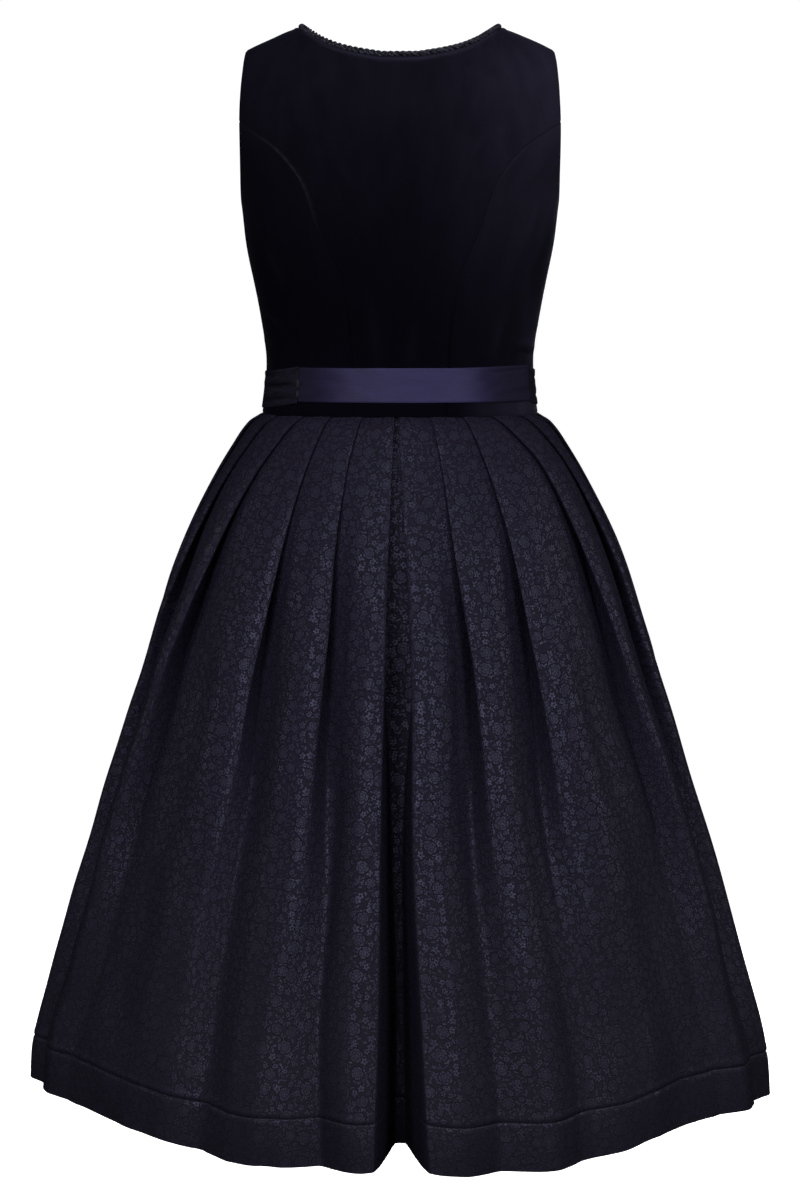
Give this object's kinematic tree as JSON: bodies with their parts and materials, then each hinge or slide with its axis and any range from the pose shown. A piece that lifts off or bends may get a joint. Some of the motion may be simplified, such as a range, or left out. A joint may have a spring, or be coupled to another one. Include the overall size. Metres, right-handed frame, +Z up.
{
  "type": "dirndl",
  "caption": "Sleeveless dirndl with a fitted velvet bodice, a belt and a pleated midi skirt, in its worn shape, hollow and open at the neck, armholes and hem.",
  "frame": {"origin": "midway between the two shoulder seams, at their mid height, where the wearer's shoulders hold the dress up", "axes": "+Z up along the worn dress, the wearer faces -Y, +X is the wearer's left side"},
  "size_m": [0.6983, 0.5723, 1.0079],
  "materials": {
    "velvet": "dark navy cotton velvet, short pile",
    "cord": "twisted rayon cord, dark navy",
    "satin": "satin ribbon, navy",
    "band": "matte woven band, dark navy",
    "jacquard": "dark navy jacquard with a dense small floral"
  },
  "bodies": {
    "root": {"bodice_back_center": "velvet", "bodice_side_back_l": "velvet", "bodice_side_back_r": "velvet", "bodice_side_front_l": "velvet", "bodice_side_front_r": "velvet", "bodice_front_l": "velvet", "bodice_front_r": "velvet", "neck_cord": "cord", "belt_back_ribbon": "satin", "belt_front_band": "band", "skirt_back": "jacquard", "skirt_front_l": "jacquard", "skirt_front_r": "jacquard"}
  },
  "joints": []
}
